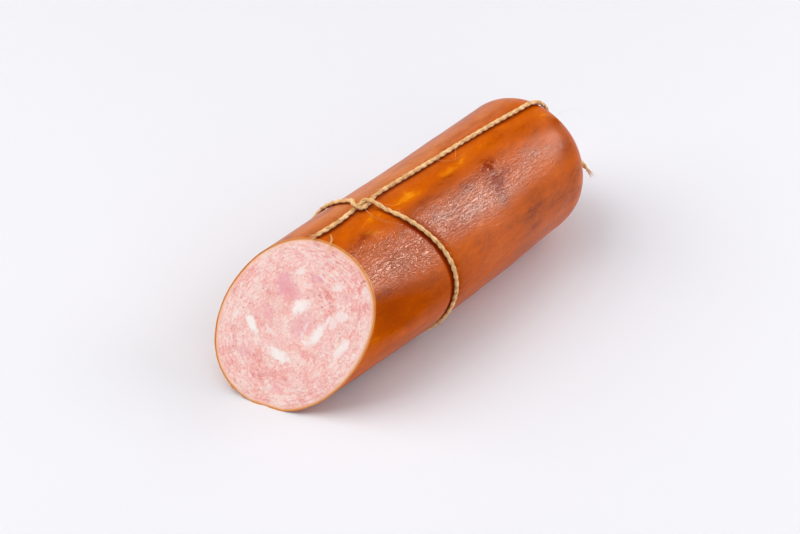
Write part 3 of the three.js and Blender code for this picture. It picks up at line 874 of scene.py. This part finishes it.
def cookedMince():
    # cooked, cured minced ham with cubes of lean and fat, cut with a knife: pink, moist, grainy and slightly
    # see-through
    material, tree = newMaterial("cured_ham_mince_cut")
    place = addNode(tree, "TexCoord").outputs["Object"]
    names = ("fat", "ham", "lean", "hole", "streak", "rim", "ringA", "ringB", "ringC", "nearRim")
    fat, ham, lean, hole, streak, rim, ringA, ringB, ringC, nearRim = [
        addNode(tree, "Attribute", attribute_name=name).outputs["Fac"] for name in names]
    # mince ground to about 2 mm, its finer fibres, and paler and redder clouds
    grain = addNode(tree, "TexNoise", {"Vector": place, "Scale": 1 / 0.0020, "Detail": 4, "Roughness": 0.6,
                                       "Distortion": 1.6}).outputs[0]
    fine = addNode(tree, "TexNoise", {"Vector": place, "Scale": 1 / 0.0008, "Detail": 3, "Roughness": 0.6})
    cloud = addNode(tree, "TexNoise", {"Vector": place, "Scale": 1 / 0.009, "Detail": 3, "Roughness": 0.5})
    fine, cloud = fine.outputs[0], cloud.outputs[0]
    # fine lines that run round with the rim, where the mince was smeared along the casing
    ringwise = addNode(tree, "CombineXYZ", {0: ringA, 1: ringB, 2: ringC}).outputs[0]
    line = addNode(tree, "TexNoise", {"Vector": ringwise, "Scale": 0.95, "Detail": 3, "Roughness": 0.65,
                                      "Distortion": 0.5}).outputs[0]
    line = addNode(tree, "Math", {0: line, 1: 0.5}, operation="SUBTRACT").outputs[0]
    line = addNode(tree, "Math", {0: line, 1: nearRim}, operation="MULTIPLY").outputs[0]
    # how pale the mince is, from all of these
    tone = -0.06
    shares = (cloud, 0.6), (grain, 0.80), (fine, 0.45), (streak, 0.20), (line, 0.8), (lean, -0.22)
    for part, share in shares:
        tone = addNode(tree, "Math", {0: part, 1: share, 2: tone}, operation="MULTIPLY_ADD").outputs[0]
    flesh = addNode(tree, "ValToRGB", {0: tone}, stops=[
        (0.36, "d87876"), (0.55, "ec9d98"), (0.70, "f6b5ae"), (0.86, "fbcac2"), (1.0, "fee0d8"),
    ]).outputs[0]
    # thin redder seams between the lumps of mince
    seam = addNode(tree, "TexNoise", {"Vector": place, "Scale": 1 / 0.0036, "Detail": 3, "Roughness": 0.6,
                                      "Distortion": 1.4}).outputs[0]
    seam = addNode(tree, "Math", {0: seam, 1: 0.5}, operation="SUBTRACT").outputs[0]
    seam = addNode(tree, "Math", {0: seam}, operation="ABSOLUTE").outputs[0]
    seam = addNode(tree, "MapRange", {0: seam, 1: 0.0, 2: 0.034, 3: 0.36, 4: 0.0}).outputs[0]
    cube = addNode(tree, "MapRange", {0: fine, 1: 0.3, 2: 0.7, 3: 0.65, 4: 1.0}).outputs[0]
    cube = addNode(tree, "Math", {0: ham, 1: cube}, operation="MULTIPLY").outputs[0]
    # the smoke and the casing stain the last two millimetres
    stainAndGrooveShade = addNode(tree, "Math", {0: rim, 1: 0.5}, operation="MULTIPLY").outputs[0]
    stainAndGrooveShade = addNode(tree, "ValToRGB", {0: stainAndGrooveShade}, stops=[
        (0.0, "e8944c"), (0.18, "f6b27c"), (0.55, "f9c4a2"), (1.0, "f9c8b4"),
    ]).outputs[0]
    stained = addNode(tree, "MapRange", {0: rim, 1: 0.1, 2: 2.2, 3: 1.0, 4: 0.0}).outputs[0]
    # the pinholes are painted darker: painted shade inside the shallow pits
    layers = [(seam, colour("cf6c68")), (cube, colour("eda2ad")), (fat, colour("fff3f0")),
              (stained, stainAndGrooveShade), (hole, colour("cf7670"))]
    for share, tint in layers:
        flesh = addNode(tree, "Mix", {0: share, 6: flesh, 7: tint}, data_type="RGBA").outputs[2]
    bump = addNode(tree, "Bump", {"Strength": 0.7, "Distance": 0.00020, "Height": tone})
    rough = addNode(tree, "MapRange", {0: fine, 3: 0.34, 4: 0.56}).outputs[0]
    shader = addNode(tree, "BsdfPrincipled", {
        "Base Color": flesh, "Roughness": rough, "IOR": 1.42, "Normal": bump.outputs[0],
        "Subsurface Weight": 0.25, "Subsurface Radius": (1.0, 0.35, 0.25), "Subsurface Scale": 0.002,
        "Coat Weight": 0.15, "Coat Roughness": 0.3,
    })
    addNode(tree, "OutputMaterial", {"Surface": shader.outputs[0]})
    return material


makeMeat(cookedMince())

# the twine
jute = {
    "ply": 0.76,  # radius of each of the two strands
    "apart": 0.34,  # from the twine's middle to a strand's
    "lay": 8.4,  # length of a full turn of the twist
    "sides": 30,
    "ridges": 11,  # bundles of fibre that show round the twine
    "ridgeHeight": 0.06,
    "ridgeLay": 8.4,
    "loosens": 5.0,  # length at each end over which the twist opens
    "opens": 0.8,  # there the strands part by this share
    "thins": 0.45,  # and lose this share of their radius
    "swell": (9.0, 0.06),  # thick and thin stretches: their length, and share of the radius
    "seed": 31,
    "hairs": 620,
    "hairRadius": 0.045,
    "hairFrom": 0.95,  # from the twine's middle
    "hairLength": (0.8, 2.6),  # the least, and how much more the longest have
    # both frayed ends: how many fibres, their length at the start and at the end, and their radii
    "frays": {"count": 36, "lengths": (4.0, 4.2), "radii": (0.05, 0.10), "from": 1.5},
    "laidThickness": 1.3,  # of the loose fibres below, against a hair
    "tuftThickness": 4.6,
    "clearance": 0.35,  # loose fibres stay this far off the casing
    # loose fibres laid on the casing: x, angle in degrees, height over it, mm
    "laid": [[(48.2, 88, 1.6), (48, 93, 0.9), (48.4, 98, 0.5), (50.1, 106, 0.4), (53.5, 113, 0.5)],
             [(47.9, 90, 1.4), (47.4, 97, 0.6), (48.4, 104, 0.4), (50.5, 109.5, 0.9)],
             [(56.5, 89, 1.2), (58, 94, 0.5), (60, 98, 0.4), (63.7, 99.7, 0.8)],
             [(99, 86, 1.2), (102, 92, 0.6), (106, 95, 0.4), (112, 95.5, 0.7)],
             [(112, 86.5, 1.4), (108, 92, 0.5), (104, 96, 0.5)],
             [(91, 80, 1.2), (96, 77, 0.7), (103, 76.4, 1.3)],
             [(66, 77, 0.9), (62, 74, 0.8), (57, 74, 1.4)]],
    # a thicker tuft that hangs over the cut: x, y, z from the casing's axis, mm
    "tuft": [[(24.9, -0.7, 36.3), (22.9, -2.6, 34.9), (20.4, -3.4, 32.8), (18.9, -3.2, 30.8)],
             [(24.3, -1.9, 36.1), (22.7, -3.0, 34.9), (20.6, -4.3, 33.0), (19.7, -5.5, 31.5)],
             [(23.6, -3.0, 35.9), (22.6, -3.3, 34.8), (20.7, -3.9, 33.2), (19.4, -4.3, 31.4)]],
    # a long loose fibre behind the dome, the same
    "whisker": [(184.6, 0.2, 12.0), (187.5, -4.5, 19.0), (191, -8.5, 21.0), (196, -12.5, 17.5)],
}


def carriedFrames(points):
    # directions across the curve that turn with it as little as they can
    tangents = np.gradient(points, axis=0)
    tangents /= np.linalg.norm(tangents, axis=1)[:, None]
    across = np.zeros_like(points)
    first = np.cross(tangents[0], [0, 0, 1.0])
    across[0] = first / np.linalg.norm(first)
    for i in range(1, len(points)):
        moved = across[i - 1] - tangents[i] * (across[i - 1] @ tangents[i])
        across[i] = moved / np.linalg.norm(moved)
    return tangents, across, np.cross(tangents, across)


def tube(centres, across, other, radii, sides, start):
    # one closed tube: its points and faces, numbered from start
    turn = np.arange(sides) / sides * 2 * math.pi
    rings = (centres[:, None, :] + radii[:, :, None] * (np.cos(turn)[None, :, None] * across[:, None, :]
                                                        + np.sin(turn)[None, :, None] * other[:, None, :]))
    points = np.vstack([rings.reshape(-1, 3), centres[:1], centres[-1:]])
    faces = gridFaces(len(centres), sides, start)
    faces += capFaces(start + len(centres) * sides, start, sides, flip=True)
    faces += capFaces(start + len(centres) * sides + 1, start + (len(centres) - 1) * sides, sides)
    return points, faces


def makeTwine(material):
    tangents, across, other = carriedFrames(routePoints)
    still = 0 * routeLengths
    fromEnd = np.minimum(routeLengths, routeLengths[-1] - routeLengths)
    loosened = 1 - smoothstep(fromEnd, 0.0, jute["loosens"])
    swellLength, swellShare = jute["swell"]
    swell = 1 + swellShare * noiseAt(np.stack([routeLengths, still, still], axis=1), swellLength, 41)
    # one closed skin over both strands, which turns with the twist, so the furrows stay crisp
    phase = (2 * math.pi * routeLengths / jute["lay"])[:, None]
    lean = np.cos(phase) * across + np.sin(phase) * other
    beside = -np.sin(phase) * across + np.cos(phase) * other
    turn = np.arange(jute["sides"])[None, :] / jute["sides"] * 2 * math.pi
    apart = (jute["apart"] * (1 + jute["opens"] * loosened))[:, None]
    ply = (jute["ply"] * swell * (1 - jute["thins"] * loosened))[:, None]
    outline = apart * np.abs(np.cos(turn)) + np.sqrt(np.maximum(ply ** 2 - (apart * np.sin(turn)) ** 2, 0.02))
    twist = 2 * math.pi * routeLengths[:, None] / jute["ridgeLay"]
    ridge = np.abs(np.cos(0.5 * jute["ridges"] * turn + twist)) - 0.6
    roundIt = [np.cos(turn) + 0 * twist, np.sin(turn) + 0 * twist, twist * 1.4 + 0 * turn]
    rough = noiseAt(np.stack(roundIt, axis=-1), 0.6, 42)
    radii = outline + jute["ridgeHeight"] * (ridge + rough)
    points, faces = tube(routePoints, lean, beside, radii, jute["sides"], 0)
    points[:, 2] = np.maximum(points[:, 2], 0.02)  # just off the floor
    # long pale and dark fibres that follow the twist
    along = routeLengths[:, None] * 0.16 + 0 * turn
    spun = np.stack([np.cos(turn + twist), np.sin(turn + twist), along], axis=-1)
    fibreTone = noiseAt(spun, 0.30, 43) + 0.6 * noiseAt(spun * [2, 2, 3], 0.30, 44)
    # the side that lies on the casing is painted darker: painted shade where it meets the casing, and a stain
    # from it
    away = routePoints - [0, 0, axisHeight]
    away[:, 0] = np.where(routePoints[:, 0] > body["length"], 1, 0)
    away /= np.linalg.norm(away, axis=1)[:, None]
    leanOut, besideOut = [np.sum(side * away, axis=1)[:, None] for side in (lean, beside)]
    underStainAndShade = smoothstep(-(np.cos(turn) * leanOut + np.sin(turn) * besideOut), 0.05, 0.75)
    shade = {"fibreTone": np.concatenate([fibreTone.ravel(), [0, 0]]),
             "underStainAndShade": np.concatenate([underStainAndShade.ravel(), [0, 0]])}
    piece = makePiece("juteTwine", points, faces, material, shade, sharp=None)
    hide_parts("twine")
    return tangents, across, other


def liftedOff(points):
    # keeps loose fibres out of the casing and off the floor
    points = points.copy()
    z = points[:, 2] - axisHeight
    onBody = (points[:, 0] > cutOffset(points[:, 1], z)) & (points[:, 0] < body["length"])
    y = points[:, 1] - sideways(points[:, 0])
    reach = np.hypot(y, z)
    least = bodyRadius(points[:, 0], 0) + jute["clearance"]
    scale = np.where(onBody & (reach < least), least / np.maximum(reach, 1), 1)
    points[:, 1] += y * (scale - 1)
    points[:, 2] += z * (scale - 1)
    points[:, 2] = np.maximum(points[:, 2], 0.1)
    return points


def shortHairs(rng, tangents, across, other):
    fibres = []
    least, more = jute["hairLength"]
    for _ in range(jute["hairs"]):
        i = int(rng.integers(4, len(routePoints) - 4))
        turn = rng.uniform(0, 2 * math.pi)
        out = math.cos(turn) * across[i] + math.sin(turn) * other[i]
        away = routePoints[i] - [routePoints[i][0], 0, axisHeight]
        if out @ away < 0 and routePoints[i][0] < body["length"]:
            out = -out
        length = least + more * rng.uniform() ** 2.2
        heading = tangents[i] * rng.choice([-1, 1]) + out * rng.uniform(0.15, 0.8)
        heading /= np.linalg.norm(heading)
        curl = rng.normal(0, 0.5, 3)
        share = np.linspace(0, 1, 5)[:, None]
        path = routePoints[i] + out * jute["hairFrom"] + heading * length * share
        path = path + curl * length * 0.3 * share ** 2
        fibres.append((path, jute["hairRadius"] * rng.uniform(0.6, 1.1)))
    return fibres


def frayedEnds(rng, tangents, across, other):
    fibres = []
    frays = jute["frays"]
    for place, heading, reach in zip((0, len(routePoints) - 1), (-1, 1), frays["lengths"]):
        for _ in range(frays["count"]):
            turn = rng.uniform(0, 2 * math.pi)
            out = math.cos(turn) * across[place] + math.sin(turn) * other[place]
            length = reach * rng.uniform(0.45, 1.0)
            share = np.linspace(0, 1, 6)[:, None]
            forward = tangents[place] * heading
            path = routePoints[place] - forward * frays["from"] + out * rng.uniform(0.1, 0.6)
            path = path + forward * (length + frays["from"]) * share
            path = path + out * length * rng.uniform(0.1, 0.5) * share ** 1.6
            fibres.append((path, rng.uniform(*frays["radii"])))
    return fibres


def fibresByHand():
    fromAxis = np.array([0, 0, axisHeight])
    paths = []
    for laid in jute["laid"]:
        path = [overCasing(x, angle, (height - twine["rest"]) / twine["over"]) for x, angle, height in laid]
        paths.append((path, jute["laidThickness"]))
    paths += [(np.array(strand) + fromAxis, jute["tuftThickness"]) for strand in jute["tuft"]]
    paths.append((np.array(jute["whisker"]) + fromAxis, 1.0))
    return [(alongCurve(path, 0.5)[0], jute["hairRadius"] * thickness) for path, thickness in paths]


def makeFibres(material, frames):
    rng = np.random.default_rng(jute["seed"])
    points, faces = [], []
    count = 0
    for path, radius in shortHairs(rng, *frames) + frayedEnds(rng, *frames) + fibresByHand():
        path = liftedOff(path)
        _, side, up = carriedFrames(path)
        radii = np.linspace(1, 0.35, len(path))[:, None] * radius * np.ones((1, 4))
        made, madeFaces = tube(path, side, up, radii, 4, count)
        points.append(made)
        faces += madeFaces
        count += len(made)
    makePiece("juteFibres", np.vstack(points), faces, material, sharp=None)


def twistedJute():
    # bast fibre of jute spun into two strands and twisted: straw to tan, dry and dull, with a faint sheen
    material, tree = newMaterial("twisted_jute_twine")
    place = addNode(tree, "TexCoord").outputs["Object"]
    # stained patches of 4 mm, and fibres drawn 0.6 mm thick, coarser than real, so that they show
    patch = addNode(tree, "TexNoise", {"Vector": place, "Scale": 1 / 0.004, "Detail": 3, "Roughness": 0.6})
    fibre = addNode(tree, "TexNoise", {"Vector": place, "Scale": 1 / 0.0006, "Detail": 4, "Roughness": 0.7})
    spun = addNode(tree, "Attribute", attribute_name="fibreTone").outputs["Fac"]
    underStainAndShade = addNode(tree, "Attribute", attribute_name="underStainAndShade").outputs["Fac"]
    tone = -0.2
    for part, share in ((patch.outputs[0], 0.8), (fibre.outputs[0], 0.7), (spun, 0.26)):
        tone = addNode(tree, "Math", {0: part, 1: share, 2: tone}, operation="MULTIPLY_ADD").outputs[0]
    straw = addNode(tree, "ValToRGB", {0: tone}, stops=[
        (0.22, "8a562a"), (0.40, "ce9856"), (0.56, "eab876"), (0.76, "fcdca8"),
    ]).outputs[0]
    # the underside painted darker: painted contact shade and the casing's stain
    straw = addNode(tree, "Mix", {0: underStainAndShade, 6: straw, 7: colour("6e2c0c")}, data_type="RGBA").outputs[2]
    bump = addNode(tree, "Bump", {"Strength": 0.6, "Distance": 0.00012, "Height": fibre.outputs[0]})
    shader = addNode(tree, "BsdfPrincipled", {
        "Base Color": straw, "Roughness": 0.82, "IOR": 1.5, "Normal": bump.outputs[0],
        "Sheen Weight": 0.2, "Sheen Roughness": 0.5,
    })
    addNode(tree, "OutputMaterial", {"Surface": shader.outputs[0]})
    return material


juteMaterial = twistedJute()
makeFibres(juteMaterial, makeTwine(juteMaterial))

print("all pieces made")
